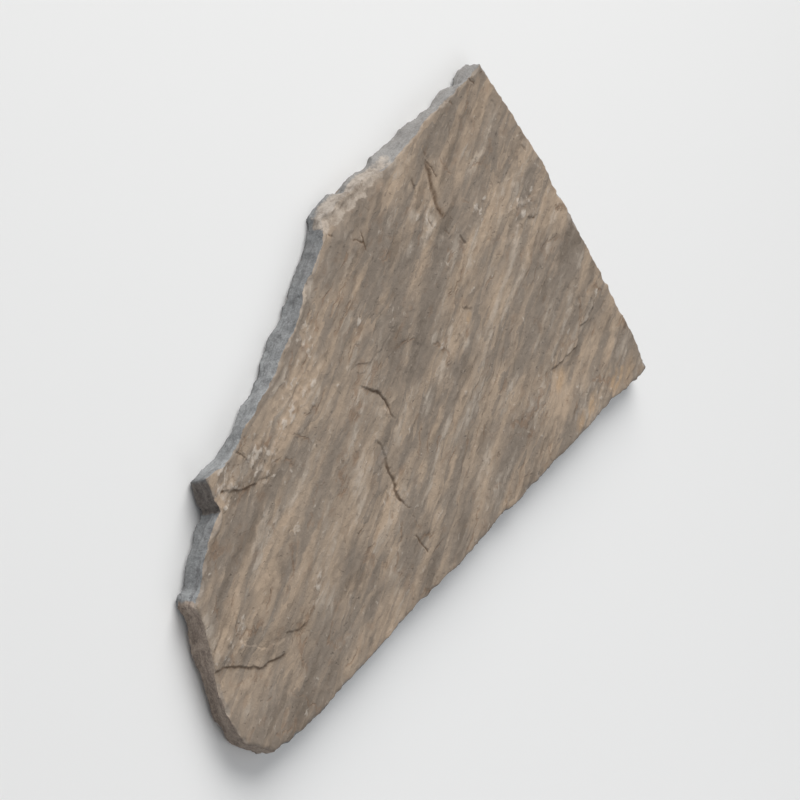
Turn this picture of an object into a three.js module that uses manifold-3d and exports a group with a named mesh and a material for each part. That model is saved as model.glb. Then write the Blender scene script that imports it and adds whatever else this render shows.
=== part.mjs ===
// A riven sandstone flagstone lying flat with its cleft face up. Millimetres, +Z up.
// The origin is the middle of the stone's outline, on the surface that it lies on.

import * as THREE from 'three';
import Module from 'manifold-3d';
import { ImprovedNoise } from 'three/addons/math/ImprovedNoise.js';
import { mergeVertices } from 'three/addons/utils/BufferGeometryUtils.js';

// The slab
const thickness = 50;
const thickening = 0.005;          // the heel end is thicker than the far end, per mm of length
const undersideInset = 7;          // chipped lower arris, so the stone rests inside its outline
const outlineSpacing = 24;         // longest straight run along a broken edge

// Heights of the beds that show on the broken sides; the last one is trimmed by the cleft face
const bedHeights = [0, 8, 19, 31, 43, 66];
const bedRelief = [0, 2.5, -1.5, 2, -1, 0];
const edgeRoughness = { height: 3, length: 38, bedStep: 0.9 };

// The outline seen from above, anticlockwise, edge by edge: x, y and flare at each point.
// Flare is how far the foot of the side stands out beyond the cleft face; below 0 it is undercut.
const brokenEdges = {
  front: [
    [-609, -356, 8], [-580, -355, 5], [-562, -354, 0], [-551, -353, -10], [-538, -353, -6],
    [-524, -352, 1], [-508, -351, 7], [-488, -350, 3], [-472, -351, -5], [-440, -354, -3],
    [-428, -355, -8], [-406, -352, -4], [-394, -350, 4], [-360, -340, 19], [-346, -339, 15],
    [-300, -336, 17], [-260, -331, 25], [-246, -332, 15], [-220, -335, 14], [-205, -336, 16],
    [-170, -340, 12], [-158, -339, 5], [-144, -338, 14], [-132, -338, 20], [-95, -335, 22],
    [-62, -331, 21], [-48, -329, 3],
  ],
  slant: [
    [-25, -315, 1], [10, -300, -2], [45, -281, 2], [75, -268, 2], [92, -254, 6], [110, -242, 9],
    [140, -230, 12], [165, -222, 10], [190, -213, 5], [210, -205, 1], [230, -196, -1],
    [255, -190, -6], [280, -185, -5], [305, -177, -8], [338, -169, -9],
  ],
  teeth: [
    [352, -162, -6], [384, -151, -3], [410, -150, 1], [440, -156, -7], [455, -155, -6],
    [457, -135, -3], [462, -112, 0], [461, -98, -2], [485, -91, -5], [510, -77, -4], [545, -51, 0],
    [573, -26, 0], [590, -20, 8], [604, -16, -6], [604, 8, -9], [611, 34, -6], [622, 58, -2],
    [629, 82, -3],
  ],
  heel: [[637, 100, -9], [645, 125, -9], [655, 170, -6], [655, 225, -4], [612, 275, 3]],
  back: [
    [550, 285, 6], [480, 291, 4], [370, 294, 8], [235, 302, -3], [160, 307, 5], [70, 315, 7],
    [-85, 320, -4], [-160, 328, 3], [-245, 330, 6], [-405, 342, 2], [-520, 347, -5], [-612, 360, 3],
  ],
  farEnd: [
    [-655, 359, 2], [-663, 290, -3], [-654, 225, 4], [-656, 155, 5], [-650, 70, -4], [-649, -15, 2],
    [-643, -55, 5], [-643, -120, -3], [-634, -180, 3], [-628, -245, 5], [-617, -305, 2],
  ],
};

// Places where the upper arris has spalled away towards the side
const arrisSpalls = [
  { start: [-205, -338], end: [-62, -330], depth: 13, reach: 30 },
  { start: [52, -285], end: [80, -268], depth: 6, reach: 16 },
];

// The cleft face
const faceStep = 18;               // spacing of the points that carry the face's relief
const faceMargin = 40;             // how far the cutting block stands out beyond the outline
const grainAngle = 22 * Math.PI / 180;
const undulation = { height: 3.2, length: 420, layer: 0.35 };
const ripple = { height: 1.3, length: 190, width: 46, layer: 4.6 };

// Scars where a thin leaf of stone has come away. The stone is lower on the left of the line
// that runs from start to end, and comes back to the face over reach.
const ledgeTaper = { outside: 0.25, inside: 0.1 }; // at each end, as a share of its length
const ledges = [
  { start: [40, 10], end: [62, -80], drop: 2.6, reach: 150 },
  { start: [107, 165], end: [86, 10], drop: 2.6, reach: 70 },
  { start: [-322, -180], end: [-352, -290], drop: 3, reach: 110 },
  { start: [425, 158], end: [635, 88], drop: 4, reach: 170 },
  { start: [375, -86], end: [430, -116], drop: 3, reach: 70 },
  { start: [-465, 207], end: [-380, 200], drop: 2.5, reach: 120 },
  { start: [28, -78], end: [54, -120], drop: 1.8, reach: 90 },
  { start: [-538, -100], end: [-570, -84], drop: 1.8, reach: 80 },
];

const weldDistance = 0.01;         // points closer than this are one point

const noise = new ImprovedNoise();

// The outline cut into short runs, each point with its outward direction and its flare
function outlinePoints() {
  const corners = Object.values(brokenEdges).flat().map(([x, y, flare]) => ({
    at: new THREE.Vector2(x, y),
    flare,
  }));
  const points = [];
  corners.forEach((corner, i) => {
    const next = corners[(i + 1) % corners.length];
    const runs = Math.ceil(corner.at.distanceTo(next.at) / outlineSpacing);
    for (let run = 0; run < runs; run++) {
      const part = run / runs;
      points.push({
        at: corner.at.clone().lerp(next.at, part),
        flare: THREE.MathUtils.lerp(corner.flare, next.flare, part),
      });
    }
  });
  points.forEach((point, i) => {
    const before = points[(i + points.length - 1) % points.length].at;
    const after = points[(i + 1) % points.length].at;
    point.outward = new THREE.Vector2(after.y - before.y, before.x - after.x).normalize();
  });
  return points;
}

// How far the side stands out from the outline at one point of the outline and one bed
function sideOffset(point, bed) {
  const down = THREE.MathUtils.clamp(1 - bedHeights[bed] / thickness, 0, 1);
  const chipped = bed === 0 ? undersideInset : 0;
  const { height, length, bedStep } = edgeRoughness;
  const rough = height * noise.noise(point.at.x / length, point.at.y / length, bed * bedStep);
  return (point.flare + bedRelief[bed]) * down - chipped + rough;
}

// The broken sides: the outline extruded bed by bed, with every bed moved in or out
function sidesGeometry() {
  const points = outlinePoints();
  const beds = bedHeights.length - 1;
  const geometry = new THREE.ExtrudeGeometry(new THREE.Shape(points.map((point) => point.at)), {
    depth: beds,
    steps: beds,
    bevelEnabled: false,
  });
  const position = geometry.attributes.position;
  const corner = new THREE.Vector2();
  for (let i = 0; i < position.count; i++) {
    corner.set(position.getX(i), position.getY(i));
    const point = points.find((candidate) => candidate.at.distanceTo(corner) < weldDistance);
    const bed = Math.round(position.getZ(i));
    corner.addScaledVector(point.outward, sideOffset(point, bed));
    position.setXYZ(i, corner.x, corner.y, bedHeights[bed]);
  }
  return geometry;
}

// How much lower the face is beside a ledge
function ledgeDrop(ledge, x, y) {
  const start = new THREE.Vector2(...ledge.start);
  const along = new THREE.Vector2(...ledge.end).sub(start);
  const length = along.length();
  along.normalize();
  const from = new THREE.Vector2(x, y).sub(start);
  const aside = along.cross(from);
  const run = from.dot(along) / length;
  const begun = THREE.MathUtils.smoothstep(run, -ledgeTaper.outside, ledgeTaper.inside);
  const ended = THREE.MathUtils.smoothstep(run, 1 - ledgeTaper.inside, 1 + ledgeTaper.outside);
  const onSide = THREE.MathUtils.smoothstep(aside, -faceStep / 2, faceStep / 2);
  const fade = 1 - THREE.MathUtils.smoothstep(aside, 0, ledge.reach);
  return ledge.drop * (begun - ended) * onSide * fade;
}

// How much lower the face is beside a spalled arris
function spallDrop(spall, x, y) {
  const line = new THREE.Line3(new THREE.Vector3(...spall.start, 0), new THREE.Vector3(...spall.end, 0));
  const from = new THREE.Vector3(x, y, 0);
  const distance = from.distanceTo(line.closestPointToPoint(from, true, new THREE.Vector3()));
  return spall.depth * (1 - THREE.MathUtils.smoothstep(distance, 0, spall.reach));
}

// Height of the cleft face above the underside
function faceHeight(x, y) {
  const along = x * Math.cos(grainAngle) + y * Math.sin(grainAngle);
  const across = y * Math.cos(grainAngle) - x * Math.sin(grainAngle);
  let height = thickness + thickening * x;
  height += undulation.height * noise.noise(x / undulation.length, y / undulation.length, undulation.layer);
  height += ripple.height * noise.noise(along / ripple.length, across / ripple.width, ripple.layer);
  for (const ledge of ledges) {
    height -= ledgeDrop(ledge, x, y);
  }
  for (const spall of arrisSpalls) {
    height -= spallDrop(spall, x, y);
  }
  return height;
}

// A block whose top is the cleft face; it reaches well below the stone
function faceGeometry(width, depth) {
  const below = 2 * thickness;
  const geometry = new THREE.BoxGeometry(
    width, depth, below,
    Math.round(width / faceStep), Math.round(depth / faceStep), 1,
  );
  const position = geometry.attributes.position;
  for (let i = 0; i < position.count; i++) {
    const x = position.getX(i);
    const y = position.getY(i);
    const z = position.getZ(i) > 0 ? faceHeight(x, y) : -below;
    position.setZ(i, z);
  }
  return geometry;
}

function toManifold(wasm, geometry) {
  geometry.deleteAttribute('normal');
  geometry.deleteAttribute('uv');
  const merged = mergeVertices(geometry, weldDistance);
  return new wasm.Manifold(new wasm.Mesh({
    numProp: 3,
    vertProperties: new Float32Array(merged.attributes.position.array),
    triVerts: new Uint32Array(merged.index.array),
  }));
}

function toGeometry(solid) {
  const mesh = solid.getMesh();
  const geometry = new THREE.BufferGeometry();
  geometry.setAttribute('position', new THREE.BufferAttribute(new Float32Array(mesh.vertProperties), 3));
  geometry.setIndex(new THREE.BufferAttribute(new Uint32Array(mesh.triVerts), 1));
  geometry.computeVertexNormals();
  return geometry;
}

const wasm = await Module();
wasm.setup();

const sides = sidesGeometry();
sides.computeBoundingBox();
const size = sides.boundingBox.getSize(new THREE.Vector3());
const middle = sides.boundingBox.getCenter(new THREE.Vector3());
sides.translate(-middle.x, -middle.y, 0);
const face = faceGeometry(size.x + 2 * faceMargin, size.y + 2 * faceMargin);
const stone = wasm.Manifold.intersection(toManifold(wasm, sides), toManifold(wasm, face));

const sandstone = new THREE.MeshStandardMaterial({ color: 0x90837a, roughness: 0.9, metalness: 0 });
const flagstone = new THREE.Mesh(toGeometry(stone), sandstone);
flagstone.name = 'flagstone';

const part = new THREE.Group();
part.name = 'sandstone_flagstone';
part.add(flagstone);

export default part;
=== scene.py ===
import math
import random

import bmesh
import bpy
from mathutils import Matrix, Vector, noise
from mathutils.kdtree import KDTree


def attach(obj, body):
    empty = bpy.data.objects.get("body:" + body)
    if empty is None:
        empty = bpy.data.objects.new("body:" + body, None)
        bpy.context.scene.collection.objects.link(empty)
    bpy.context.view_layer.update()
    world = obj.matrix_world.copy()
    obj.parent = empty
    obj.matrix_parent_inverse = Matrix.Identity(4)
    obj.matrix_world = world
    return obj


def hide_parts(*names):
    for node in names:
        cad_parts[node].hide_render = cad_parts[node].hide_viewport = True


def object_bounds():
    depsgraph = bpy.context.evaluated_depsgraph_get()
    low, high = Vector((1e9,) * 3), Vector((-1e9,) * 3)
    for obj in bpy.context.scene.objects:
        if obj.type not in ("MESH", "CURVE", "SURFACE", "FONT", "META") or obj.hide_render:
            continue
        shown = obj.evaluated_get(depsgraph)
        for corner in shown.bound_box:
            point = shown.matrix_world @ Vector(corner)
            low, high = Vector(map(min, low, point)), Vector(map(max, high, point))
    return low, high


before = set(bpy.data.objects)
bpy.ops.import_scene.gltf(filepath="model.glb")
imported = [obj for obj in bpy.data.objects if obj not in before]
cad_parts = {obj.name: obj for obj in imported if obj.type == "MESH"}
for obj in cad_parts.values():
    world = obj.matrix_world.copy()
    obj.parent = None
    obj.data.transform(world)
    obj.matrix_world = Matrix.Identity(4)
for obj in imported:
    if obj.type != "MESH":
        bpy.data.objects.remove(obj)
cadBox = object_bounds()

dice = random.Random(7)
noise.seed_set(2)


def smoothStep(low, high, value):
    t = min(max((value - low) / (high - low), 0.0), 1.0)
    return t * t * (3 - 2 * t)


# Every pattern of the stone is a noise stretched over two lengths in metres, called its grain
# here; the grain's third number picks one noise from many. A rough noise has finer ones on top:
# how fast they weaken, how much finer each is, and how many there are.
def noiseAt(first, second, grain):
    return noise.noise(Vector((first / grain[0], second / grain[1], grain[2])))


def swayAt(first, second, grain):
    return noise.noise_vector(Vector((first / grain[0], second / grain[1], grain[2])))


def roughAt(first, second, grain, finer):
    return noise.fractal(Vector((first / grain[0], second / grain[1], grain[2])), *finer)


# The CAD solid remeshed finely enough to carry the riven face and the broken sides, and finer
# still along the scars. The lower bed is flat and out of sight, so its mesh is thinned out:
# each halving takes away every other point of it.
meshing = {
    "mergeDistance": 1e-5,
    "voxel": 0.0036,
    "undersideBelow": 0.0016,
    "undersideFacing": -0.95,
    "undersideHalvings": 5,
    "scarFacing": 0.7,
    "scarBands": (0.0075, 0.0032),
}


def copyOfNode(name):
    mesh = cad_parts[name].data.copy()
    shape = bmesh.new()
    shape.from_mesh(mesh)
    bmesh.ops.remove_doubles(shape, verts=shape.verts, dist=meshing["mergeDistance"])
    shape.to_mesh(mesh)
    shape.free()
    mesh.materials.clear()
    piece = bpy.data.objects.new(name + "Stone", mesh)
    bpy.context.scene.collection.objects.link(piece)
    return piece


def remeshStone(piece):
    remesh = piece.modifiers.new("remesh", "REMESH")
    remesh.mode = "VOXEL"
    remesh.voxel_size = meshing["voxel"]
    bpy.context.view_layer.update()
    shown = piece.evaluated_get(bpy.context.evaluated_depsgraph_get())
    mesh = bpy.data.meshes.new_from_object(shown)
    piece.modifiers.clear()
    old = piece.data
    piece.data = mesh
    bpy.data.meshes.remove(old)


def thinUnderside(shape):
    low = [v for v in shape.verts
           if v.co.z < meshing["undersideBelow"] and v.normal.z < meshing["undersideFacing"]]
    bmesh.ops.unsubdivide(shape, verts=low, iterations=meshing["undersideHalvings"])
    bmesh.ops.triangulate(shape, faces=[face for face in shape.faces if len(face.verts) > 4])


# How the stone was laid down: thin leaves that run nearly along the slab. The cleft face cuts
# through them at a slant, so each leaf ends in a small step. Sheets are wider and end in ledges.
leaves = {
    "angle": math.radians(22.5),
    "waviness": 0.014,
    "waves": (1 / 4.2, 1 / 3.0, 7.1),
    "rippliness": 0.00308,
    "ripples": (1 / 17, 1 / 12, 2.3),
    "broad": (0.46, 0.066, 0.4),
    "middle": (0.19, 0.026, 3.3),
    "middleShare": 0.40,
    "fine": (0.055, 0.009, 5.9),
    "fineShare": 0.20,
    "stepsPerUnit": 4.0,
    "riser": (0.38, 0.62),     # the part of a step that climbs
    "stepHeight": 0.0021,
    "calmSteps": 0.6,          # share of the step height where the face is split cleanly
    "tornSteps": 0.8,          # what tearing adds to that share
    "sandHeight": 0.0007,
    "sand": (0.012, 0.006, 6.4),
    "tornHeight": 0.0017,
    "torn": (0.015, 0.009, 9.1),
    "tornFiner": (0.8, 2.1, 3),
}
sheets = {
    "sway": 0.030,
    "swayGrain": (0.09, 0.06, 2.6),
    "smallSway": 0.0075,
    "smallSwayGrain": (0.022, 0.016, 6.2),
    "swayAcross": 0.5,
    "broad": (0.36, 0.12, 5.5),
    "stepsPerUnit": 4.0,
    "stepHeight": 0.0012,
}


# The slab's x and y turned to run along the grain and across it
def turnedToGrain(x, y):
    cosine, sine = math.cos(leaves["angle"]), math.sin(leaves["angle"])
    return x * cosine + y * sine, y * cosine - x * sine


def leafCoordinates(x, y):
    along, across = turnedToGrain(x, y)
    across += leaves["waviness"] * noiseAt(along, across, leaves["waves"])
    across += leaves["rippliness"] * noiseAt(along, across, leaves["ripples"])
    return along, across


def leafLevel(along, across):
    broad = noiseAt(along, across, leaves["broad"])
    middle = noiseAt(along, across, leaves["middle"])
    fine = noiseAt(along, across, leaves["fine"])
    return leaves["stepsPerUnit"] * (broad + leaves["middleShare"] * middle + leaves["fineShare"] * fine)


def sheetLevel(along, across):
    sway = sheets["sway"] * swayAt(along, across, sheets["swayGrain"])
    sway += sheets["smallSway"] * swayAt(along, across, sheets["smallSwayGrain"])
    across += sheets["swayAcross"] * sway.y
    return sheets["stepsPerUnit"] * noiseAt(along + sway.x, across, sheets["broad"])


def stepped(level):
    whole = math.floor(level)
    return whole + smoothStep(*leaves["riser"], level - whole)


# Patches of the stone, drawn out along the grain: x, y, length, width and strength. A patch fades
# out between the two shares of its size that patchEdge gives.
patchEdge = (0.5, 1.5)


def patchesOf(rows):
    return [(*leafCoordinates(x, y), *rest) for x, y, *rest in rows]


# The strongest patch at a place
def patchAt(patches, along, across):
    strongest = 0.0
    for middleAlong, middleAcross, length, width, strength in patches:
        distance = math.hypot((along - middleAlong) / length, (across - middleAcross) / width)
        if distance < patchEdge[1]:
            strength *= 1 - smoothStep(*patchEdge, distance)
            if abs(strength) > abs(strongest):
                strongest = strength
    return strongest


# Places where the leaves were torn rather than split, left rough
tornPatches = patchesOf([
    (0.415, -0.118, 0.060, 0.032, 1.0), (0.330, -0.110, 0.060, 0.040, 1.0),
    (0.245, -0.135, 0.060, 0.040, 0.9), (0.180, -0.165, 0.060, 0.034, 0.8),
    (0.115, -0.205, 0.050, 0.026, 0.8), (0.570, 0.075, 0.050, 0.026, 0.9),
    (0.350, 0.028, 0.030, 0.012, 0.8), (0.353, 0.123, 0.040, 0.014, 0.6),
    (-0.268, -0.205, 0.045, 0.022, 0.9), (-0.520, -0.085, 0.050, 0.018, 0.9),
    (-0.430, -0.145, 0.040, 0.014, 0.8), (-0.190, 0.000, 0.050, 0.018, 0.7),
    (0.020, -0.150, 0.050, 0.018, 0.5), (-0.420, 0.185, 0.080, 0.016, 0.5),
    (0.060, 0.060, 0.090, 0.020, 0.4),
])

# Leaves that show as broad bands of their own: tan above 0, grey below
bandPatches = patchesOf([
    (-0.475, -0.262, 0.100, 0.019, 1.0), (-0.210, -0.287, 0.070, 0.010, 0.8),
    (-0.040, -0.185, 0.065, 0.013, 0.5), (-0.140, -0.122, 0.150, 0.012, 1.0),
    (0.475, 0.060, 0.070, 0.012, 0.8), (0.220, -0.130, 0.120, 0.020, 0.6),
    (0.190, 0.090, 0.090, 0.012, 0.6), (-0.433, -0.320, 0.080, 0.014, -0.7),
    (-0.574, -0.224, 0.060, 0.016, -0.7), (-0.185, -0.174, 0.035, 0.012, -0.9),
    (0.010, -0.198, 0.035, 0.010, -0.9), (-0.182, -0.076, 0.080, 0.020, -0.8),
    (-0.300, -0.120, 0.060, 0.020, -0.5), (0.061, 0.093, 0.050, 0.024, -0.9),
    (-0.060, 0.060, 0.060, 0.014, -0.7), (-0.115, -0.229, 0.060, 0.034, -0.9),
    (0.055, -0.030, 0.060, 0.032, -0.9), (-0.406, -0.162, 0.060, 0.030, -0.7),
    (0.414, 0.029, 0.050, 0.018, -0.4), (0.040, -0.130, 0.070, 0.016, 0.6),
    (-0.500, -0.060, 0.110, 0.022, -0.8), (-0.430, 0.020, 0.100, 0.022, -0.8),
    (0.450, -0.090, 0.070, 0.022, 0.7), (0.525, -0.030, 0.060, 0.020, -0.2),
])

# Pale leaves and smears of pale mineral
palePatches = patchesOf([
    (-0.381, -0.006, 0.110, 0.0050, 0.9), (-0.388, 0.022, 0.070, 0.0060, 0.8),
    (-0.556, 0.175, 0.035, 0.0060, 0.8), (-0.485, 0.188, 0.045, 0.0055, 0.9),
    (-0.465, 0.106, 0.035, 0.0060, 0.7), (-0.060, 0.050, 0.024, 0.0045, 0.8),
    (0.041, -0.125, 0.035, 0.0050, 0.8), (0.415, -0.018, 0.050, 0.0070, 0.7),
    (-0.248, -0.232, 0.014, 0.0090, 1.3), (-0.281, -0.197, 0.016, 0.0110, 1.3),
    (-0.286, -0.162, 0.016, 0.0060, 1.0), (-0.200, -0.189, 0.016, 0.0060, 0.9),
    (-0.021, 0.127, 0.030, 0.0032, 1.0), (-0.060, 0.040, 0.030, 0.0032, 0.9),
    (-0.387, 0.136, 0.020, 0.0040, 0.8), (-0.422, 0.175, 0.020, 0.0050, 0.8),
    (-0.451, -0.040, 0.030, 0.0045, 0.9), (-0.320, 0.021, 0.030, 0.0045, 0.9),
    (-0.268, 0.052, 0.030, 0.0045, 0.8), (-0.148, -0.033, 0.014, 0.0060, 1.0),
    (-0.192, -0.018, 0.014, 0.0060, 1.0), (-0.216, 0.021, 0.014, 0.0060, 0.9),
    (-0.255, 0.029, 0.014, 0.0060, 0.9), (0.601, 0.016, 0.010, 0.0080, 0.9),
    (0.606, 0.034, 0.010, 0.0080, 0.9), (0.613, 0.055, 0.010, 0.0080, 0.8),
    (0.620, 0.076, 0.010, 0.0080, 0.6),
])

# Stretches of the broken sides that are paler, or darker below 0: some are the stone's own tone,
# the paler tops of the teeth are painted light, and the darker underside of the first tooth and the
# notch at its foot are painted shade
sideLightAndTonePatches = patchesOf([
    (0.020, -0.300, 0.060, 0.050, -0.2), (0.255, -0.190, 0.070, 0.040, 0.3),
    (0.405, -0.152, 0.034, 0.024, 0.4), (0.461, -0.125, 0.018, 0.034, -0.56),
    (0.460, -0.101, 0.010, 0.007, -0.90), (0.530, -0.065, 0.060, 0.030, 0.1),
    (0.600, -0.015, 0.016, 0.020, 0.35), (0.610, 0.060, 0.050, 0.060, 0.2),
])

# Rust soaked in near the far corner
rustPatches = patchesOf([
    (-0.552, 0.318, 0.034, 0.012, 0.9), (-0.600, 0.330, 0.030, 0.012, 0.5),
    (-0.446, 0.316, 0.026, 0.010, 0.8), (-0.404, 0.226, 0.026, 0.010, 0.7),
    (-0.400, 0.318, 0.024, 0.010, 0.6), (-0.255, -0.010, 0.012, 0.005, 0.8),
])


# Outside those patches the face is torn a little here and there
tornElsewhere = {"grain": (0.16, 0.12, 3.7), "range": (0.1, 0.5), "most": 0.45}


def tornAt(x, y):
    patchy = noiseAt(x, y, tornElsewhere["grain"])
    elsewhere = tornElsewhere["most"] * smoothStep(*tornElsewhere["range"], patchy)
    return max(patchAt(tornPatches, *leafCoordinates(x, y)), elsewhere)


# Small leaves left standing proud of the face, paler than the rest: x, y and half the width.
# More are scattered where the face is torn. Their height is a share of half the width.
standingLeaves = [
    (0.198, -0.166, 0.008), (0.221, -0.153, 0.006), (0.235, -0.127, 0.009), (0.116, -0.202, 0.006),
    (0.138, -0.227, 0.007), (0.113, -0.104, 0.005), (0.426, -0.129, 0.008), (0.314, -0.106, 0.008),
    (0.321, -0.049, 0.006), (0.361, -0.127, 0.006), (0.421, -0.148, 0.007), (0.452, -0.126, 0.007),
    (0.389, -0.034, 0.006), (0.347, -0.098, 0.007), (0.335, -0.082, 0.006), (0.402, -0.118, 0.007),
    (0.547, 0.077, 0.009), (0.565, 0.092, 0.007), (0.544, -0.040, 0.007), (0.345, 0.026, 0.007),
    (-0.407, -0.156, 0.008), (-0.442, -0.146, 0.007), (-0.493, -0.103, 0.006), (-0.520, -0.102, 0.006),
    (-0.548, -0.064, 0.007), (-0.485, 0.167, 0.007), (-0.299, -0.046, 0.006), (0.184, 0.054, 0.005),
    (-0.134, 0.073, 0.005), (-0.025, -0.262, 0.006), (-0.159, -0.010, 0.007), (-0.210, 0.010, 0.008),
    (-0.243, -0.237, 0.005), (-0.258, -0.225, 0.006), (-0.272, -0.203, 0.006), (-0.292, -0.188, 0.005),
    (-0.286, -0.160, 0.005), (-0.199, -0.189, 0.005),
]
scattering = {
    "count": 75,
    "area": ((-0.62, 0.62), (-0.33, 0.33)),
    "crowding": 3,             # how strongly they keep to the torn places
    "size": (0.003, 0.0065),
    "stretch": (1.0, 2.4),
    "longest": 0.022,
    "height": 0.24,
    "edge": (0.55, 1.05),
    "raggedness": 0.35,
    "raggedGrain": (0.006, 0.006, 3.0),
}


def scatterLeaves():
    scattered = [(x, y, size, dice.uniform(*scattering["stretch"])) for x, y, size in standingLeaves]
    while len(scattered) < len(standingLeaves) + scattering["count"]:
        x, y = (dice.uniform(*limits) for limits in scattering["area"])
        if dice.random() < tornAt(x, y) ** scattering["crowding"]:
            scattered.append((x, y, dice.uniform(*scattering["size"]), dice.uniform(*scattering["stretch"])))
    tree = KDTree(len(scattered))
    for i, leaf in enumerate(scattered):
        tree.insert((leaf[0], leaf[1], 0), i)
    tree.balance()
    return scattered, tree


# How far a place lies within a standing leaf, 0 to 1, and half the width of that leaf
def standingAt(x, y, scattered, tree):
    most, width = 0.0, 0.0
    for _, i, _ in tree.find_range((x, y, 0), scattering["longest"]):
        leafX, leafY, size, stretch = scattered[i]
        run, aside = turnedToGrain(x - leafX, y - leafY)
        ragged = scattering["raggedness"] * noiseAt(x, y, scattering["raggedGrain"])
        within = 1 - smoothStep(*scattering["edge"], math.hypot(run / stretch, aside) / size + ragged)
        if within > most:
            most, width = within, size
    return most, width


# Scars where a leaf of stone has come away. Each follows its path with the lower side on the left,
# and comes back up to the face over its reach. The lip is how dark its edge is, 1 if not given:
# brown dirt with painted shade at the foot of the step.
scars = [
    {"path": [(0.330, -0.072), (0.383, -0.089), (0.421, -0.108), (0.450, -0.124)],
     "drop": 0.0026, "reach": 0.05},
    {"path": [(0.484, 0.171), (0.513, 0.163), (0.545, 0.154), (0.576, 0.132), (0.611, 0.101),
              (0.660, 0.080)],
     "drop": 0.0032, "reach": 0.08, "lip": 0.8},
    {"path": [(0.562, 0.084), (0.551, 0.108), (0.531, 0.130), (0.502, 0.146), (0.471, 0.158)],
     "drop": 0.0018, "reach": 0.025, "lip": 0.0},
    {"path": [(0.425, 0.156), (0.444, 0.157), (0.478, 0.142)], "drop": 0.0022, "reach": 0.04},
    {"path": [(0.041, 0.003), (0.032, -0.005), (0.031, -0.020), (0.035, -0.038), (0.052, -0.057),
              (0.066, -0.074)],
     "drop": 0.0030, "reach": 0.03, "lip": 0.5},
    {"path": [(0.107, 0.162), (0.108, 0.137), (0.105, 0.111), (0.101, 0.084), (0.093, 0.063), (0.089, 0.035),
              (0.092, 0.016)], "drop": 0.0026, "reach": 0.06, "lip": 0.7},
    {"path": [(-0.082, -0.110), (-0.033, -0.097), (0.014, -0.090), (0.046, -0.105), (0.074, -0.103)],
     "drop": 0.0014, "reach": 0.05, "lip": 0.4},
    {"path": [(-0.320, -0.182), (-0.319, -0.206), (-0.326, -0.226), (-0.331, -0.244), (-0.339, -0.271),
              (-0.345, -0.292)],
     "drop": 0.0014, "reach": 0.03, "lip": 0.0},
    {"path": [(-0.277, -0.243), (-0.287, -0.268), (-0.289, -0.283)],
     "drop": 0.0020, "reach": 0.02, "lip": 0.5},
    {"path": [(-0.040, -0.316), (-0.054, -0.304)], "drop": 0.0030, "reach": 0.014},
    {"path": [(-0.485, -0.104), (-0.531, -0.099), (-0.574, -0.087), (-0.606, -0.087)],
     "drop": 0.0018, "reach": 0.05, "lip": 0.6},
    {"path": [(-0.610, 0.160), (-0.555, 0.182), (-0.525, 0.181), (-0.488, 0.202), (-0.434, 0.202),
              (-0.374, 0.196)],
     "drop": 0.0042, "reach": 0.05, "lip": 0.5},
    {"path": [(0.360, -0.118), (0.364, -0.132), (0.372, -0.153)], "drop": 0.0018, "reach": 0.02},
    {"path": [(-0.544, -0.052), (-0.528, -0.068)], "drop": 0.0022, "reach": 0.015},
    {"path": [(-0.338, -0.119), (-0.336, -0.143)], "drop": 0.0020, "reach": 0.015, "lip": 0.8},
    {"path": [(-0.280, -0.018), (-0.248, -0.032)], "drop": 0.0016, "reach": 0.015},
]

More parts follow.
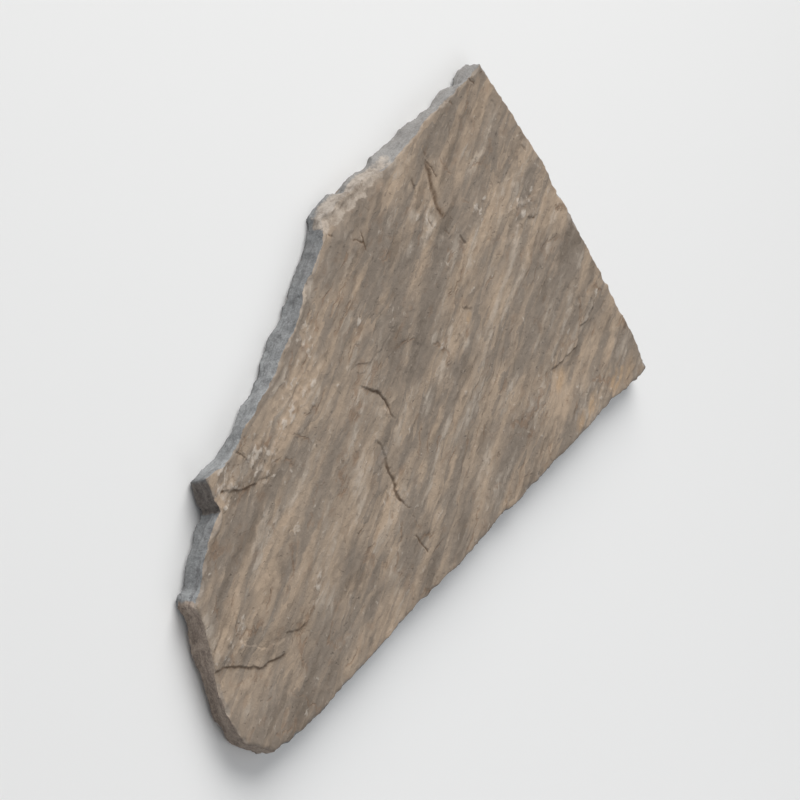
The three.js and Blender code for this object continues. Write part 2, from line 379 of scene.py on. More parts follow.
# Open cracks, narrow and a little jagged; an even one keeps its width. Their lip darkens the gap,
# brown dirt with painted shade in the crack, 1 if not given.
cracks = [
    {"path": [(0.064, -0.072), (0.052, -0.057), (0.035, -0.038), (0.031, -0.020), (0.032, -0.005),
              (0.027, 0.023)],
     "depth": 0.0028, "width": 0.0018},
    {"path": [(0.093, 0.063), (0.101, 0.084), (0.105, 0.111), (0.108, 0.137), (0.106, 0.158),
              (0.099, 0.163)],
     "depth": 0.0014, "width": 0.0024},
    {"path": [(0.121, 0.205), (0.112, 0.250)], "depth": 0.0016, "width": 0.0024},
    {"path": [(-0.345, -0.292), (-0.349, -0.268), (-0.353, -0.250)],
     "depth": 0.0011, "width": 0.0016, "lip": 0.8},
    {"path": [(-0.351, -0.300), (-0.339, -0.271), (-0.331, -0.244), (-0.325, -0.224), (-0.319, -0.203),
              (-0.320, -0.180)],
     "depth": 0.0006, "width": 0.0066, "lip": 0.9, "even": True},
    {"path": [(-0.306, -0.168), (-0.311, -0.152)],
     "depth": 0.0010, "width": 0.0032, "lip": 0.6, "even": True},
    {"path": [(-0.292, -0.286), (-0.285, -0.264)],
     "depth": 0.0008, "width": 0.0034, "lip": 0.6, "even": True},
    {"path": [(-0.281, -0.204), (-0.283, -0.188)],
     "depth": 0.0012, "width": 0.0034, "lip": 0.7, "even": True},
    {"path": [(-0.334, -0.144), (-0.338, -0.119)],
     "depth": 0.0007, "width": 0.0032, "lip": 0.4, "even": True},
    {"path": [(-0.550, -0.358), (-0.566, -0.334)],
     "depth": 0.0014, "width": 0.0030, "lip": 0.8, "even": True},
    {"path": [(-0.463, -0.358), (-0.480, -0.338)],
     "depth": 0.0010, "width": 0.0028, "lip": 0.6, "even": True},
    {"path": [(-0.604, -0.184), (-0.609, -0.160)],
     "depth": 0.0010, "width": 0.0028, "lip": 0.6, "even": True},
    {"path": [(-0.446, -0.320), (-0.436, -0.292)],
     "depth": 0.0003, "width": 0.0040, "lip": 0.5, "even": True},
    {"path": [(-0.350, -0.320), (-0.356, -0.288)],
     "depth": 0.0003, "width": 0.0040, "lip": 0.5, "even": True},
    {"path": [(0.030, -0.007), (0.034, 0.000), (0.044, 0.007)],
     "depth": 0.0012, "width": 0.0024, "lip": 0.6},
    {"path": [(-0.107, -0.303), (-0.109, -0.284), (-0.108, -0.265), (-0.104, -0.240)],
     "depth": 0.0010, "width": 0.0022},
    {"path": [(-0.082, -0.280), (-0.100, -0.266), (-0.110, -0.258)], "depth": 0.0009, "width": 0.0020},
]


# How all the scars and cracks are broken: they wander by jag, swell and narrow, and fade out
# over a share of their length at both ends
breaking = {
    "jag": 0.0050,
    "jagGrain": (0.021, 0.021, 1.7),
    "fineJag": 0.0015,
    "fineJagGrain": (0.007, 0.007, 4.2),
    "swelling": 0.9,
    "swellingGrain": (0.024, 0.024, 5.1),
    "narrowest": 0.3,
    "scarEnds": 0.14,
    "crackEnds": 0.12,
    "scarReaches": 3,          # how many times its reach a scar is worked out to
    "crackReach": 0.01,
    "stepHalfWidth": 0.0018,
    "lipOffset": 0.0012,
    "lipWidth": 0.0024,
    "darkDrop": 0.003,         # a drop this deep has a fully dark lip; deeper steps get more painted shade
    "deepest": 0.0048,
}


# Nearest point of a path: distance, which side (left is positive) and how far along, 0 to 1
def alongPath(path, point):
    nearest, side, run = math.inf, 1, 0
    pieces = len(path) - 1
    for i in range(pieces):
        ax, ay = path[i]
        dx, dy = path[i + 1][0] - ax, path[i + 1][1] - ay
        part = ((point[0] - ax) * dx + (point[1] - ay) * dy) / (dx * dx + dy * dy)
        held = min(max(part, 0.0), 1.0)
        ox, oy = point[0] - ax - dx * held, point[1] - ay - dy * held
        distance = math.hypot(ox, oy)
        if distance < nearest:
            nearest = distance
            side = 1 if dx * (point[1] - ay) - dy * (point[0] - ax) > 0 else -1
            run = (i + held) / pieces
    return nearest, side, run


def withinReach(path, point, reach):
    xs = [p[0] for p in path]
    ys = [p[1] for p in path]
    return (min(xs) - reach < point[0] < max(xs) + reach) and (min(ys) - reach < point[1] < max(ys) + reach)


# 1 along the middle of a line, down to 0 at both ends
def endsFade(run, share):
    return smoothStep(0.0, share, run) * (1 - smoothStep(1 - share, 1.0, run))


# Height change and dark lip that the scars and cracks make at one place on the face; the lip is
# brown dirt with painted shade at the foot of the steps and in the gaps
def scarsAt(x, y):
    jag = swayAt(x, y, breaking["jagGrain"]) * breaking["jag"]
    jag += swayAt(x, y, breaking["fineJagGrain"]) * breaking["fineJag"]
    swelling = 1 + breaking["swelling"] * noiseAt(x, y, breaking["swellingGrain"])
    swelling = max(swelling, breaking["narrowest"])
    point = (x + jag.x, y + jag.y)
    height, lip = 0.0, 0.0
    for scar in scars:
        if not withinReach(scar["path"], point, breaking["scarReaches"] * scar["reach"]):
            continue
        distance, side, run = alongPath(scar["path"], point)
        ends = endsFade(run, breaking["scarEnds"])
        aside = side * distance
        step = smoothStep(-breaking["stepHalfWidth"], breaking["stepHalfWidth"], aside)
        fade = math.exp(-max(aside, 0.0) / scar["reach"])
        height -= scar["drop"] * ends * step * fade
        shade = ends * min(swelling, 1.0) * min(scar["drop"] / breaking["darkDrop"], 1)
        shade *= scar.get("lip", 1.0)
        fromLip = (aside - breaking["lipOffset"]) / (breaking["lipWidth"] * swelling)
        lip = max(lip, shade * math.exp(-fromLip ** 2))
    for crack in cracks:
        if not withinReach(crack["path"], point, breaking["crackReach"]):
            continue
        distance, _, run = alongPath(crack["path"], point)
        ends = endsFade(run, breaking["crackEnds"])
        wide = 1.0 if crack.get("even") else swelling
        gap = ends * min(wide, 1.0) * math.exp(-(distance / (crack["width"] * wide)) ** 2)
        height -= crack["depth"] * gap
        lip = max(lip, gap * crack.get("lip", 1.0))
    return height, lip


def refineAlongScars(shape):
    for band in meshing["scarBands"]:
        nearby = set()
        for v in shape.verts:
            if v.normal.z < meshing["scarFacing"]:
                continue
            for line in scars + cracks:
                if withinReach(line["path"], v.co, band) and alongPath(line["path"], v.co)[0] < band:
                    nearby.add(v)
                    break
        edges = [e for e in shape.edges if e.verts[0] in nearby and e.verts[1] in nearby]
        bmesh.ops.subdivide_edges(shape, edges=edges, cuts=1, use_grid_fill=True)
        shape.normal_update()


# The broken sides: hackly and broken into facets, with the beds just showing
sideRelief = {
    "squatness": 1.6,          # hackle and facets are this much lower than they are long
    "hackle": 0.0018,
    "hackleSize": 0.026,
    "hackleFiner": (0.9, 2.1, 3),
    "bedding": 0.0013,
    "bedThickness": 0.0055,
    "bedLength": 0.25,
    "bedWander": 0.5,
    "bedWanderGrain": (0.07, 0.07, 1.1),
    "grit": 0.0006,
    "gritSize": 0.0065,
    "facetSize": 0.030,
    "facetSlope": 0.09,
    "facetJag": 0.2,
    "facetJagSize": 0.02,
    "facetVariety": 37,        # keeps the slopes of neighbouring facets apart
}


def sideOffset(place):
    squat = Vector((place.x, place.y, place.z * sideRelief["squatness"]))
    hackle = noise.fractal(squat / sideRelief["hackleSize"], *sideRelief["hackleFiner"])
    wander = sideRelief["bedWander"] * noiseAt(place.x, place.y, sideRelief["bedWanderGrain"])
    bed = place.z / sideRelief["bedThickness"] + wander
    bedding = noiseAt(place.x, place.y, (sideRelief["bedLength"], sideRelief["bedLength"], bed))
    grit = noise.noise(place / sideRelief["gritSize"])
    jag = noise.noise_vector(squat / sideRelief["facetJagSize"]) * sideRelief["facetJag"]
    facetPlace = squat / sideRelief["facetSize"] + jag
    facetMiddle = noise.voronoi(facetPlace)[1][0]
    slope = noise.noise_vector(facetMiddle * sideRelief["facetVariety"])
    facet = slope.dot(facetPlace - facetMiddle) * sideRelief["facetSize"]
    return (sideRelief["hackle"] * hackle + sideRelief["bedding"] * bedding
            + sideRelief["grit"] * grit + sideRelief["facetSlope"] * facet)


# The lower bed lifts here and there, and is never below the flat face that the stone rests on
lowerBed = {"lift": 0.0016, "grain": (0.11, 0.07, 8.8), "finer": (0.9, 2.1, 4), "flatPart": 0.15}


def undersideLift(x, y):
    lift = roughAt(x, y, lowerBed["grain"], lowerBed["finer"]) - lowerBed["flatPart"]
    return lowerBed["lift"] * max(lift, 0.0)


# The long spall where the upper arris broke away by the blunt corner. It starts narrow and weak,
# and is at its widest and strongest after a share of its path.
spall = {
    "path": [(-0.270, -0.347), (-0.215, -0.344), (-0.140, -0.342), (-0.055, -0.337)],
    "inwardTo": -0.28,         # it lies wholly in front of this y
    "width": 0.022,
    "firstWidth": 0.55,
    "widening": (0.1, 0.6),
    "firstStrength": 0.45,
    "strengthening": (0.0, 0.4),
    "edge": (0.7, 1.3),
    "foot": (0.004, 0.026),    # it fades out down the side between these heights
    "raggedness": 0.008,
    "raggedGrain": (0.02, 0.02, 0.7),
    "roughness": 0.45,
    "depth": 0.0022,
}


def growing(first, limits, run):
    return first + (1 - first) * smoothStep(*limits, run)


def spalledAt(x, y, z):
    if y >= spall["inwardTo"]:
        return 0.0
    distance, _, run = alongPath(spall["path"], (x, y))
    ragged = spall["raggedness"] * noiseAt(x, y, spall["raggedGrain"])
    width = spall["width"] * growing(spall["firstWidth"], spall["widening"], run)
    inner, outer = spall["edge"]
    within = 1 - smoothStep(width * inner, width * outer, distance + ragged)
    within *= growing(spall["firstStrength"], spall["strengthening"], run)
    return within * smoothStep(*spall["foot"], z)


# Height of the cleft face's own roughness
def cleftRelief(along, across, level, sheet, torn):
    steepness = leaves["calmSteps"] + leaves["tornSteps"] * torn
    height = leaves["stepHeight"] * (stepped(level) - level) * steepness
    height += sheets["stepHeight"] * stepped(sheet)
    height += leaves["sandHeight"] * noiseAt(along, across, leaves["sand"])
    return height + torn * leaves["tornHeight"] * roughAt(along, across, leaves["torn"], leaves["tornFiner"])


# How far up or down a point has to face to start counting, and to count fully, as cleft face or
# lower bed. What counts as neither is broken side; its colour goes on a little way underneath.
facing = {
    "cleft": (0.45, 0.8),
    "lowerBed": (0.6, 0.9),
    "underColour": (0.88, 0.98),
    "leastOutward": 0.05,      # a side has to face at least this much outward to be roughened
}


# Moves every point, and notes what the material needs to know about it
def carveRelief(shape, values):
    scattered, scatterTree = scatterLeaves()
    for v in shape.verts:
        x, y, z = v.co
        upward = smoothStep(*facing["cleft"], v.normal.z)
        downward = smoothStep(*facing["lowerBed"], -v.normal.z)
        sideways = 1 - max(upward, downward)
        along, across = leafCoordinates(x, y)
        level = leafLevel(along, across)
        sheet = sheetLevel(along, across)
        spalled = spalledAt(x, y, z)
        lip, torn, standing = 0.0, 0.0, 0.0
        move = Vector((0, 0, 0))
        if upward > 0:
            torn = max(tornAt(x, y), spalled * spall["roughness"])
            standing, width = standingAt(x, y, scattered, scatterTree)
            height, lip = scarsAt(x, y)
            height += cleftRelief(along, across, level, sheet, torn)
            height += standing * width * scattering["height"] - spalled * spall["depth"]
            move.z += max(height, -breaking["deepest"]) * upward
        if sideways > 0:
            outward = Vector((v.normal.x, v.normal.y, 0))
            if outward.length > facing["leastOutward"]:
                move += outward.normalized() * sideOffset(v.co) * sideways
        if downward > 0:
            move.z += undersideLift(x, y) * downward
        noted = {
            "leaf": level,
            "sheet": sheet,
            "lip": lip * upward,
            "spalled": spalled,
            "side": 1 - upward - smoothStep(*facing["underColour"], -v.normal.z),
            "torn": torn * upward,
            "standing": standing * upward,
            "rust": patchAt(rustPatches, along, across),
            "pale": patchAt(palePatches, along, across),
            "band": patchAt(bandPatches, along, across),
            "sideToneAndLight": patchAt(sideLightAndTonePatches, along, across),
        }
        for name, number in noted.items():
            values[name][v.index] = number
        v.co += move


# Flakes struck off the arrises and off the sides: scoops pressed into the surface from outside.
# Where they can come off is judged by which way the stone faces before it is carved, up being 1
# and down -1, and by its height. Crowding is how strongly they keep to the torn places.
flakes = {
    "face": {"count": 90, "size": (0.005, 0.011), "depth": (0.0003, 0.0008), "stretch": (1.5, 3.5),
             "facing": (0.95, 1.01), "heights": (-0.01, 0.1), "crowding": 2},
    "upperArris": {"count": 700, "size": (0.003, 0.011), "depth": (0.0005, 0.0019), "stretch": (1.0, 2.0),
                   "facing": (0.40, 0.85), "heights": (0.03, 0.1)},
    "lowerArris": {"count": 420, "size": (0.005, 0.018), "depth": (0.0008, 0.0028), "stretch": (1.0, 2.0),
                   "facing": (-0.85, -0.35), "heights": (-0.01, 0.012)},
    "sides": {"count": 150, "size": (0.012, 0.040), "depth": (0.0006, 0.0018), "stretch": (0.8, 1.6),
              "facing": (-0.2, 0.2), "heights": (-0.01, 0.1)},
}
striking = {
    "tilt": 0.4,               # how far a blow leans up or down
    "smallness": 2,            # how strongly the small flakes outnumber the large ones
}


def flakePlaces(shape):
    places = {kind: [] for kind in flakes}
    for v in shape.verts:
        for kind, flake in flakes.items():
            facesRight = flake["facing"][0] < v.normal.z < flake["facing"][1]
            if not facesRight or not flake["heights"][0] < v.co.z < flake["heights"][1]:
                continue
            if "crowding" not in flake or dice.random() < tornAt(v.co.x, v.co.y) ** flake["crowding"]:
                places[kind].append(v.index)
    return places


def between(limits, part):
    return limits[0] + (limits[1] - limits[0]) * part


# A point inside a flake's ball moves out to it, but never further than the flake is thick, and
# never down through the resting plane
def strikeFlakes(shape, places, values):
    grain = Vector((math.cos(leaves["angle"]), math.sin(leaves["angle"]), 0))
    tree = KDTree(len(shape.verts))
    for v in shape.verts:
        tree.insert(v.co, v.index)
    tree.balance()
    shape.verts.ensure_lookup_table()
    for kind, flake in flakes.items():
        for _ in range(flake["count"]):
            struck = shape.verts[dice.choice(places[kind])]
            largeness = dice.random() ** striking["smallness"]
            radius = between(flake["size"], largeness)
            depth = between(flake["depth"], largeness)
            stretch = dice.uniform(*flake["stretch"])
            outward = struck.normal + Vector((0, 0, dice.uniform(-striking["tilt"], striking["tilt"])))
            outward.normalize()
            tangent = grain
            if kind != "face":
                tangent = Vector((-struck.normal.y, struck.normal.x, 0)).normalized()
            centre = struck.co + outward * (radius - depth)
            thickest = radius - (radius - depth) * outward.dot(struck.normal)
            for _, index, _ in tree.find_range(centre, radius * max(stretch, 1.0)):
                v = shape.verts[index]
                offset = v.co - centre
                squashed = offset - tangent * offset.dot(tangent) * (1 - 1 / stretch)
                if 0 < squashed.length < radius:
                    taken = offset * (radius / squashed.length - 1)
                    taken.length = min(taken.length, thickest)
                    taken.z = max(taken.z, -v.co.z)
                    values["fresh"][index] += taken.length
                    v.co += taken


# Where two flakes meet, the surface can fold over itself; the points there are eased back
folds = {"sharpest": math.radians(110), "rounds": 8, "easing": 0.5}


def easeFolds(shape):
    for _ in range(folds["rounds"]):
        shape.normal_update()
        sharp = [e for e in shape.edges if e.calc_face_angle(0.0) > folds["sharpest"]]
        folded = sorted({v for e in sharp for v in e.verts}, key=lambda v: v.index)
        bmesh.ops.smooth_vert(shape, verts=folded, factor=folds["easing"],
                              use_axis_x=True, use_axis_y=True, use_axis_z=True)


# Where everything lies on one square map of the stone: the cleft face along the bottom, the
# sides in rows above it, and the underside, smaller, at the top. Metres, apart from the scale.
layout = {
    "flatFrom": 0.6,           # what faces up or down more than this is face or underside
    "width": 1.36,
    "margin": 0.01,
    "rows": {"face": 0.0, "front": 0.75, "back": 0.815, "heel": 0.88, "farEnd": 0.945, "underside": 1.01},
    "undersideScale": 0.42,
}


def partOfStone(normal):
    if abs(normal.z) > layout["flatFrom"]:
        return "face" if normal.z > 0 else "underside"
    if abs(normal.x) > abs(normal.y):
        return "heel" if normal.x > 0 else "farEnd"
    return "back" if normal.y > 0 else "front"


def layOut(shape, parts, corner):
    chart = shape.loops.layers.uv.new("OFBake")
    for face in shape.faces:
        found = [parts[v.index] for v in face.verts]
        part = max(found, key=found.count)
        for loop in face.loops:
            x, y, z = loop.vert.co - corner
            across = y if part in ("heel", "farEnd") else x
            up = y if part in ("face", "underside") else z
            if part == "underside":
                across, up = across * layout["undersideScale"], up * layout["undersideScale"]
            up += layout["rows"][part]
            loop[chart].uv = ((across + layout["margin"]) / layout["width"],
                              (up + layout["margin"]) / layout["width"])


stone = copyOfNode("flagstone")
remeshStone(stone)
shape = bmesh.new()
shape.from_mesh(stone.data)
thinUnderside(shape)
print("remeshed:", len(shape.verts), "points")
refineAlongScars(shape)
print("refined along the scars:", len(shape.verts), "points")
shape.verts.index_update()
shape.normal_update()

# What every point tells the material about itself
notes = ("leaf", "sheet", "lip", "spalled", "side", "sideToneAndLight", "torn", "standing", "rust", "pale", "band",
         "fresh")
values = {name: [0.0] * len(shape.verts) for name in notes}
places = flakePlaces(shape)
parts = [partOfStone(v.normal) for v in shape.verts]
carveRelief(shape, values)
print("carved:", len(scars), "scars and", len(cracks), "cracks")
shape.normal_update()
strikeFlakes(shape, places, values)
easeFolds(shape)
print("struck:", sum(flake["count"] for flake in flakes.values()), "flakes")
shape.normal_update()
layOut(shape, parts, Vector(cadBox[0]))
shape.to_mesh(stone.data)
shape.free()
stone.data.shade_smooth()
for name, numbers in values.items():
    layer = stone.data.attributes.new(name, "FLOAT", "POINT")
    layer.data.foreach_set("value", numbers)
print("stone:", len(stone.data.vertices), "points,",
      sum(len(p.vertices) - 2 for p in stone.data.polygons), "triangles")


# Shader arithmetic: a socket that takes part in Python expressions
class Wire:
    def __init__(self, tree, socket=None):
        self.tree = tree
        self.socket = socket

    def node(self, kind, settings=None, inputs=None, output=0):
        made = self.tree.nodes.new(kind)
        for name, value in (settings or {}).items():
            setattr(made, name, value)
        for name, value in (inputs or {}).items():
            if isinstance(value, Wire):
                self.tree.links.new(value.socket, made.inputs[name])
            else:
                made.inputs[name].default_value = value
        return Wire(self.tree, made.outputs[output])

    def math(self, operation, *values):
        return self.node("ShaderNodeMath", {"operation": operation}, dict(enumerate(values)))

    def __add__(self, other):
        return self.math("ADD", self, other)

    def __radd__(self, other):
        return self.math("ADD", other, self)

    def __sub__(self, other):
        return self.math("SUBTRACT", self, other)

    def __rsub__(self, other):
        return self.math("SUBTRACT", other, self)

    def __mul__(self, other):
        return self.math("MULTIPLY", self, other)

    def __rmul__(self, other):
        return self.math("MULTIPLY", other, self)

    def floored(self):
        return self.math("FLOOR", self)

    def fraction(self):
        return self.math("FRACT", self)

    def absolute(self):
        return self.math("ABSOLUTE", self)

    def clamp(self):
        return self.node("ShaderNodeClamp", None, {"Value": self})

    def ramp(self, low, high):
        return self.node("ShaderNodeMapRange", {"interpolation_type": "SMOOTHSTEP"},
                         {"Value": self, "From Min": low, "From Max": high})

    # Sockets 6 and 7 are the two colours, and 2 is the mixed one
    def mix(self, first, second):
        return self.node("ShaderNodeMix", {"data_type": "RGBA"}, {0: self, 6: first, 7: second}, 2)

    def vector(self, operation, *values):
        return self.node("ShaderNodeVectorMath", {"operation": operation}, dict(enumerate(values)))

    def scaled(self, amount):
        return self.node("ShaderNodeVectorMath", {"operation": "SCALE"}, {0: self, "Scale": amount})


# A colour as a screen shows it, 0 to 255, made linear
def linearColour(red, green, blue):
    return tuple((c / 255) ** 2.2 for c in (red, green, blue)) + (1,)


sandstoneLook = {
    "tan": linearColour(167, 148, 129),
    "paleTan": linearColour(182, 170, 157),
    "grey": linearColour(129, 118, 107),
    "darkGrey": linearColour(105, 94, 83),
    "brown": linearColour(126, 102, 82),
    "fresh": linearColour(141, 143, 144),
    "freshDark": linearColour(105, 105, 106),
    "freshWarm": linearColour(168, 158, 149),
    "fleck": linearColour(187, 177, 166),
    "rust": linearColour(178, 148, 116),
    "lip": linearColour(96, 77, 60),
    "spall": linearColour(178, 166, 154),
    "spallDark": linearColour(140, 127, 114),
    "weathered": linearColour(157, 140, 125),
    "weatheredDark": linearColour(118, 103, 92),
    "darkest": 0.49,           # the shade where no pattern brightens it
    "roughness": 0.88,
    "specular": 0.35,
    "relief": 0.9,
    "reliefHeight": 0.0018,
}

# The material's patterns, 0 to 1 about a half: how many marks there are to a metre along x, y and
# z, how many finer noises lie on top, how strong those are and how twisted it all is. The leaf
# patterns follow the leaves, feathered sideways by up to half the reach.
feathering = {"pattern": ((40, 80, 50), 3, 0.6), "reach": 0.020}
leafPatterns = {
    "broadStreaks": ((3, 18, 3), 3, 0.5),
    "middleStreaks": ((9, 48, 9), 2, 0.45),
    "fineStreaks": ((34, 130, 34), 2, 0.55),
    "paleStreaks": ((8, 40, 8), 3, 0.55),
    "darkStreaks": ((8, 38, 8), 3, 0.55),
    "curls": ((60, 120, 90), 2, 0.55, 0.35),
    "stains": ((30, 60, 30), 2, 0.5),
    "pits": ((90, 170, 120), 1, 0.4),
}
plainPatterns = {
    "clouds": ((5.5, 5.5, 5.5), 2, 0.5),
    "ledges": ((16, 16, 16), 2, 0.55),
    "mottle": ((42, 42, 42), 3, 0.6),
    "beds": ((9, 9, 170), 2, 0.6),
    "grit": ((300, 300, 300), 2, 0.6),
    "grains": ((480, 480, 480), 1, 0.5),
}

# Between which two values each mark sets in; some set in downwards
shows = {
    "tan": (0.80, 1.30),
    "leafFront": (0.9, 0.2),
    "paleStreaks": (0.54, 0.72),
    "darkStreaks": (0.46, 0.30),
    "stains": (0.58, 0.74),
    "rust": (0.38, 0.58),
    "flecks": (0.64, 0.86),
    "ledgeShadeLine": (0.085, 0.01),
    "ledges": (0.50, 0.62),
    "lip": (0.15, 0.95),
    "fresh": (0.32, 0.68),
    "heelEnd": (0.594, 0.606),  # metres along the slab
    "warmEnd": (-0.05, -0.20),  # metres along the slab
    "weather": (0.35, 0.85),
    "darkTone": (-0.15, -0.50),
    "weathered": (0.36, 0.64),
    "side": (0.25, 0.75),
    "sugary": (0.36, 0.60),
    "spall": (0.30, 0.75),
    "pits": (0.33, 0.22),
}

# How strongly each mark shows
strengths = {
    "paleStreaks": 0.60,
    "paleInFront": 0.6,        # share of the pale streaks that only shows at the front of a leaf, partly a painted highlight along its lip
    "paleSpeckle": 2.0,
    "paleGaps": 0.2,
    "darkStreaks": 0.55,
    "stains": 0.25,
    "tornStains": 0.35,        # what tearing adds to the stains
    "rust": 0.75,
    "flecks": 0.70,
    "ledges": 0.5,
    "lipSpeckle": 1.2,
    "lipLeast": 0.1,
    "heelEnd": 1.3,
    "darkTone": 0.6,
    "warmEnd": 0.25,
    "weather": 0.8,
    "chips": 0.35,
    "chipDepth": 900,          # one over the depth of a flake that shows in full
    "sideToneAndLight": 0.55,
    "spall": 0.75,
}

# What is added up, in which shares, to make a tone or a height
blends = {
    "leafEdge": {"middleStreaks": 1.4, "fineStreaks": 0.7},
    "tone": {"broadStreaks": 0.98, "leafTone": 0.24, "leafPart": 0.10, "middleStreaks": 0.72, "band": 0.13},
    "rust": {"middleStreaks": 0.6, "fineStreaks": 0.4},
    "flecks": {"torn": 0.08, "standing": 0.19},
    "sheetEdge": {"fineStreaks": 0.6},
    "broken": {"grit": 0.40, "mottle": 0.28, "beds": 0.32},
    "weatherEdge": {"mottle": 0.6, "clouds": 0.5},
    "weathered": {"curls": 0.3},
    "spallEdge": {"grit": 0.3, "mottle": 0.8, "curls": 0.6},
    "sugary": {"grit": 0.25, "mottle": 0.45, "curls": 0.30},
    "shade": {"grains": 0.08, "grit": 0.10, "curls": 0.22, "fineStreaks": 0.27, "clouds": 0.36,
              "pitted": -0.16},
    "relief": {"fineStreaks": 0.5, "middleStreaks": 0.9, "curls": 0.9, "paleMarks": 0.25, "darkMarks": -0.35,
               "grains": 0.25, "grit": 0.35, "pitted": -0.5, "ledgeShadeMarks": -0.4},
}


def makeSandstone(look, notes):
    material = bpy.data.materials.new("sandstone")
    material.use_nodes = True
    tree = material.node_tree
    shader = tree.nodes["Principled BSDF"]
    wires = Wire(tree)

    def noiseOf(where, marks, finer, rough, twist=0.0):
        return wires.node("ShaderNodeTexNoise", None, {
            "Vector": where.vector("MULTIPLY", where, marks), "Scale": 1.0, "Detail": finer,
            "Roughness": rough, "Distortion": twist})

    def blend(name, start=0.0):
        for part, share in blends[name].items():
            start = start + made[part] * share
        return start

    # As much taken away as added on the whole, so the start only becomes ragged
    def ragged(name, start):
        return blend(name, start) - 0.5 * sum(blends[name].values())

    place = wires.node("ShaderNodeTexCoord", output="Object")
    leafPlace = wires.node("ShaderNodeVectorRotate", {"rotation_type": "Z_AXIS"},
                           {"Vector": place, "Angle": -leaves["angle"]})
    wander = (noiseOf(leafPlace, *feathering["pattern"]) - 0.5) * feathering["reach"]
    sideways = wires.node("ShaderNodeCombineXYZ", None, {"Y": wander})
    feathered = leafPlace.vector("ADD", leafPlace, sideways)

    # Everything that the blends can use, by name
    made = {name: wires.node("ShaderNodeAttribute", {"attribute_name": name}, output="Fac")
            for name in notes}
    made.update({name: noiseOf(feathered, *pattern) for name, pattern in leafPatterns.items()})
    made.update({name: noiseOf(place, *pattern) for name, pattern in plainPatterns.items()})

    # Every leaf has its own tone, sharp at its lip and fading away behind it. A leaf ends halfway
    # up its step.
    leaf = ragged("leafEdge", made["leaf"]) + 0.5
    made["leafPart"] = leaf.fraction()
    made["leafTone"] = wires.node("ShaderNodeTexWhiteNoise", {"noise_dimensions": "1D"},
                                  {"W": leaf.floored()})
    colour = blend("tone").ramp(*shows["tan"]).mix(look["grey"], look["tan"])
    # Part of the pale streaks keeps to the front of each leaf, at the top of its step: pale mineral with a
    # painted highlight along the lip
    atFront = made["leafPart"].ramp(*shows["leafFront"]) * strengths["paleInFront"]
    pale = made["paleStreaks"].ramp(*shows["paleStreaks"]) * (atFront + (1 - strengths["paleInFront"]))
    speckled = made["fineStreaks"] * strengths["paleSpeckle"] - strengths["paleGaps"]
    made["paleMarks"] = (pale + made["pale"] * speckled).clamp()
    made["darkMarks"] = made["darkStreaks"].ramp(*shows["darkStreaks"])
    colour = (made["paleMarks"] * strengths["paleStreaks"]).mix(colour, look["paleTan"])
    colour = (made["darkMarks"] * strengths["darkStreaks"]).mix(colour, look["darkGrey"])

    # Brown stains in the torn places and along some leaves, rust towards one corner
    stained = made["torn"] * strengths["tornStains"] + strengths["stains"]
    colour = (made["stains"].ramp(*shows["stains"]) * stained).mix(colour, look["brown"])
    rust = made["rust"] * blend("rust").ramp(*shows["rust"])
    colour = (rust * strengths["rust"]).mix(colour, look["rust"])

    # Pale mineral flecks, drawn out along the grain and crowded where the leaves are torn
    flecks = blend("flecks", made["curls"]).ramp(*shows["flecks"])
    colour = (flecks * strengths["flecks"]).mix(colour, look["fleck"])

    # Thin brown lines under the ledges, painted shade along the step of each ledge; dark lips of the
    # scars and cracks, dirt with painted shade
    sheetPart = ragged("sheetEdge", made["sheet"]).fraction() - 0.5
    ledgeShadeLine = sheetPart.absolute().ramp(*shows["ledgeShadeLine"])
    made["ledgeShadeMarks"] = ledgeShadeLine * made["ledges"].ramp(*shows["ledges"])
    colour = (made["ledgeShadeMarks"] * strengths["ledges"]).mix(colour, look["brown"])
    # The dark lips of the scars and cracks: brown dirt with painted shade at the foot of the steps and in the
    # gaps
    dirtAndShade = made["curls"] * strengths["lipSpeckle"] + strengths["lipLeast"]
    colour = (made["lip"].ramp(*shows["lip"]) * dirtAndShade).mix(colour, look["lip"])

    # Freshly broken stone on the sides is grey and granular, with the beds just showing. It is
    # weathered at the heel and where the side patches darken it, and warmer towards the far end.
    broken = blend("broken")
    fresh = broken.ramp(*shows["fresh"]).mix(look["freshDark"], look["fresh"])
    lengthwise = wires.node("ShaderNodeSeparateXYZ", None, {"Vector": place})
    fresh = (lengthwise.ramp(*shows["warmEnd"]) * strengths["warmEnd"]).mix(fresh, look["freshWarm"])
    weather = ragged("weatherEdge", lengthwise.ramp(*shows["heelEnd"]) * strengths["heelEnd"])
    dark = made["sideToneAndLight"].ramp(*shows["darkTone"]) * strengths["darkTone"]
    weather = (weather.ramp(*shows["weather"]) + dark).clamp()
    weathered = ragged("weathered", broken).ramp(*shows["weathered"])
    weathered = weathered.mix(look["weatheredDark"], look["weathered"])
    fresh = (weather * strengths["weather"]).mix(fresh, weathered)
    onSide = made["side"].ramp(*shows["side"])
    chips = (made["fresh"] * strengths["chipDepth"]).clamp() * (1 - onSide)
    colour = (chips * strengths["chips"]).mix(colour, look["freshWarm"])
    # The side patches make the sides paler or darker: the stone's own tone in places, painted light on the
    # tops of the teeth, painted shade under the first tooth and in the notch at its foot
    colour = onSide.mix(colour, fresh.scaled(1 + made["sideToneAndLight"] * strengths["sideToneAndLight"]))

    # Sugary pale stone where the arris spalled away
    spalled = ragged("spallEdge", made["spalled"]).ramp(*shows["spall"])
    sugary = blend("sugary").ramp(*shows["sugary"]).mix(look["spallDark"], look["spall"])
    colour = (spalled * strengths["spall"]).mix(colour, sugary)

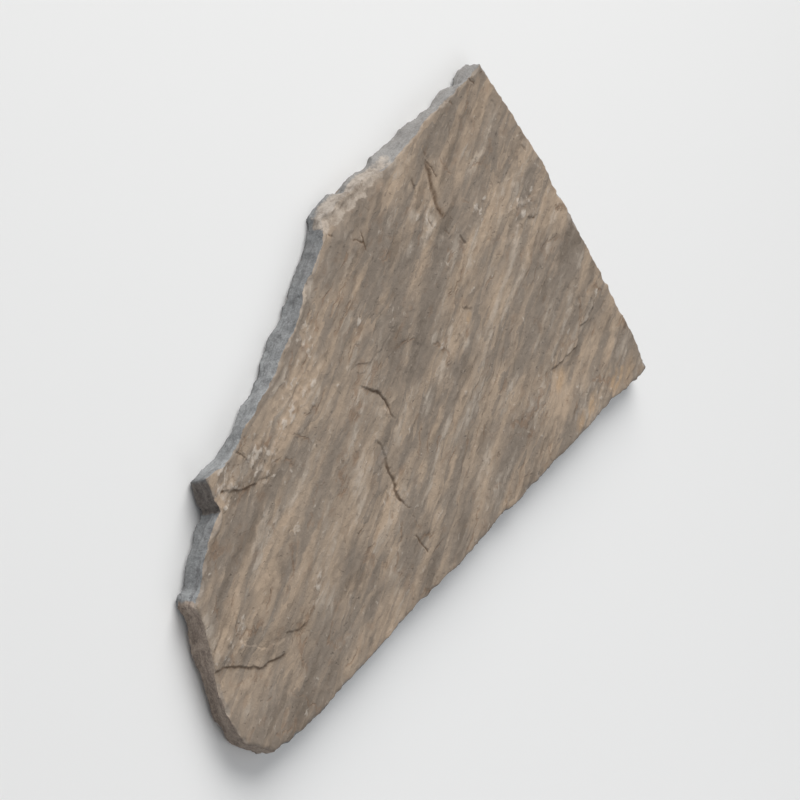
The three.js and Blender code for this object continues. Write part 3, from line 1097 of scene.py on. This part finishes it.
    # Sand grain and small pits over everything, and broad clouds a little lighter and darker
    made["pitted"] = made["pits"].ramp(*shows["pits"])
    colour = colour.scaled(blend("shade", look["darkest"]))
    bump = wires.node("ShaderNodeBump", None, {
        "Height": blend("relief"), "Strength": look["relief"], "Distance": look["reliefHeight"]})
    tree.links.new(colour.socket, shader.inputs["Base Color"])
    tree.links.new(bump.socket, shader.inputs["Normal"])
    shader.inputs["Roughness"].default_value = look["roughness"]
    shader.inputs["Specular IOR Level"].default_value = look["specular"]
    return material


stone.data.materials.append(makeSandstone(sandstoneLook, notes))
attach(stone, "root")
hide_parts("flagstone")
print("material: sandstone, with", len(leafPatterns) + len(plainPatterns), "patterns")

# A wide plain floor
floorLook = {"size": 14, "colour": (0.86, 0.86, 0.86, 1), "roughness": 0.9}
floorShape = bmesh.new()
bmesh.ops.create_grid(floorShape, x_segments=1, y_segments=1, size=floorLook["size"])
floorMesh = bpy.data.meshes.new("floor")
floorShape.to_mesh(floorMesh)
floorShape.free()
floor = bpy.data.objects.new("floor", floorMesh)
bpy.context.scene.collection.objects.link(floor)
floorPaint = bpy.data.materials.new("floorPaint")
floorPaint.use_nodes = True
floorShader = floorPaint.node_tree.nodes["Principled BSDF"]
floorShader.inputs["Base Color"].default_value = floorLook["colour"]
floorShader.inputs["Roughness"].default_value = floorLook["roughness"]
floorMesh.materials.append(floorPaint)
print("floor:", 2 * floorLook["size"], "metres wide")

# The camera looks down on the face, turned so that the pointed corner stands at the top
cameraView = {
    "place": (2.4665, -1.3258, 2.640),
    "aim": (-0.020, 0.012, 0.03),
    "up": (-0.634, -0.773, 0.02),
    "lens": 98,
    "sensor": 36,
}


def addCamera(view):
    data = bpy.data.cameras.new("camera")
    data.lens = view["lens"]
    data.sensor_width = view["sensor"]
    camera = bpy.data.objects.new("camera", data)
    place = Vector(view["place"])
    ahead = (Vector(view["aim"]) - place).normalized()
    right = ahead.cross(Vector(view["up"])).normalized()
    turned = Matrix((right, right.cross(ahead), -ahead)).transposed().to_4x4()
    camera.matrix_world = Matrix.Translation(place) @ turned
    bpy.context.scene.collection.objects.link(camera)
    bpy.context.scene.camera = camera


addCamera(cameraView)
print("camera: lens", cameraView["lens"], "mm")

# All of them point at the stone; the sun is broad, like a bright overcast sky
lights = [
    {"name": "skyLight", "kind": "SUN", "place": (-2.3, -3.95, 2.9), "angle": math.radians(48), "power": 2.05,
     "colour": (1, 0.99, 0.97)},
    {"name": "sideLight", "kind": "AREA", "place": (-2.1, -3.3, 2.5), "size": 4.0, "power": 84,
     "colour": (1, 0.99, 0.97)},
    {"name": "fillLight", "kind": "AREA", "place": (0.8, 2.6, 3.4), "size": 3.5, "power": 30,
     "colour": (0.96, 0.98, 1)},
]


def addLight(settings):
    data = bpy.data.lights.new(settings["name"], settings["kind"])
    if settings["kind"] == "SUN":
        data.angle = settings["angle"]
    else:
        data.shape = "DISK"
        data.size = settings["size"]
    data.energy = settings["power"]
    data.color = settings["colour"]
    light = bpy.data.objects.new(settings["name"], data)
    light.location = settings["place"]
    light.rotation_euler = (-Vector(settings["place"])).to_track_quat("-Z", "Y").to_euler()
    bpy.context.scene.collection.objects.link(light)


for settings in lights:
    addLight(settings)

surroundings = {"colour": (0.96, 0.98, 1, 1), "strength": 0.32}
studio = bpy.data.worlds.new("studio")
studio.use_nodes = True
studio.node_tree.nodes["Background"].inputs["Color"].default_value = surroundings["colour"]
studio.node_tree.nodes["Background"].inputs["Strength"].default_value = surroundings["strength"]
bpy.context.scene.world = studio
bpy.context.scene.view_settings.view_transform = "Standard"
print("lights:", len(lights), "and the surroundings")
